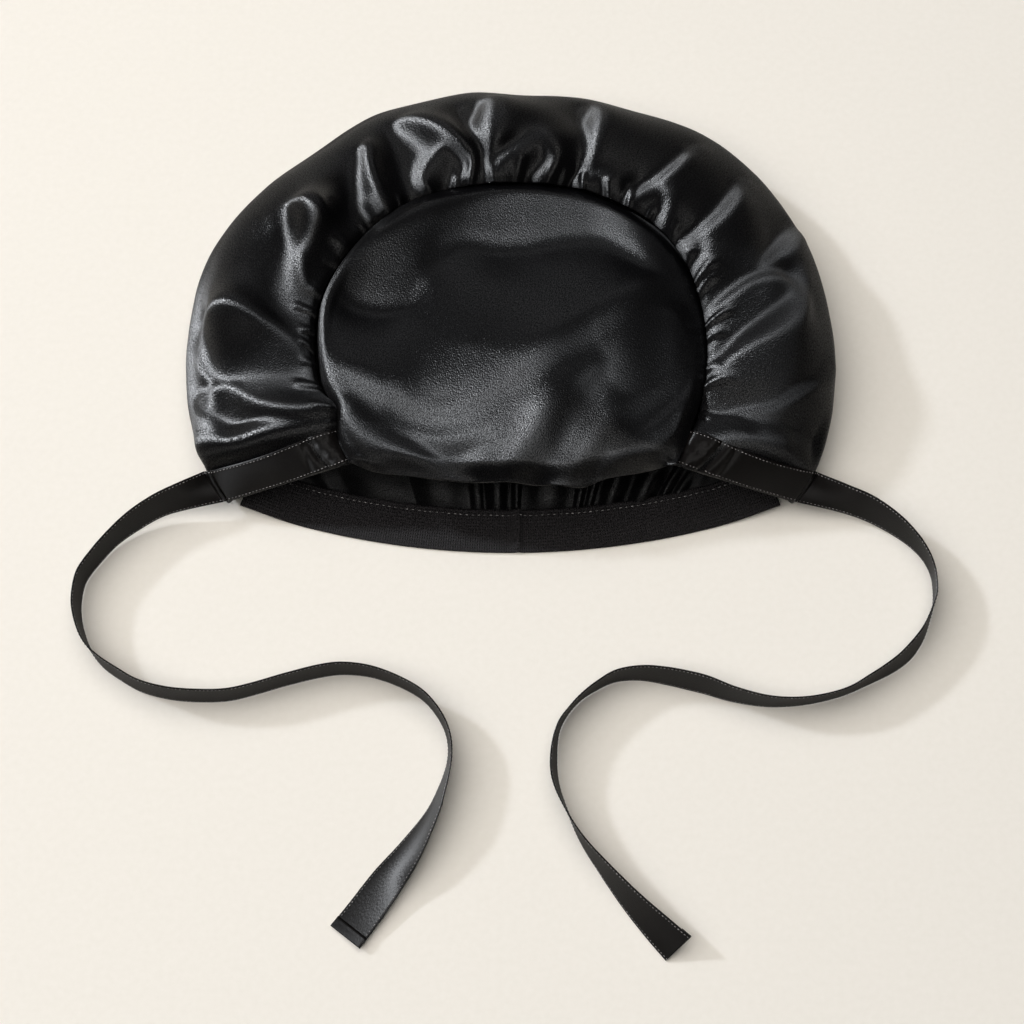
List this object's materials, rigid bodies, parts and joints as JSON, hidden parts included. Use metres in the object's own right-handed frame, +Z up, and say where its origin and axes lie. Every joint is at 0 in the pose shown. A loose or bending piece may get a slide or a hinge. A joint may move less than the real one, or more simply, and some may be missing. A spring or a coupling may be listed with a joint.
{
  "type": "sleep bonnet",
  "caption": "Soft satin sleep bonnet lying flat, with a domed crown, a gathered side panel turned under, an elastic nape band and loose ribbon ties.",
  "frame": {"origin": "on the surface the bonnet lies on, under the middle of the box of the bonnet without its loose ties", "axes": "+Z up from the surface through the crown, the mouth and the ties' free ends towards -Y, +X to the right as the picture shows the bonnet"},
  "size_m": [0.3932, 0.4229, 0.0494],
  "materials": {
    "black_satin": "woven polyester satin, near black, soft sheen",
    "knitted_elastic": "ribbed knitted elastic, near black, dull",
    "satin_ribbon": "narrow satin ribbon, near black, soft sheen"
  },
  "bodies": {
    "root": {"crown_panel": "black_satin", "side_panel": "black_satin", "elastic_band": "knitted_elastic", "rim_ribbon_left": "satin_ribbon", "rim_ribbon_right": "satin_ribbon", "tie_left": "satin_ribbon", "tie_right": "satin_ribbon"}
  },
  "joints": []
}
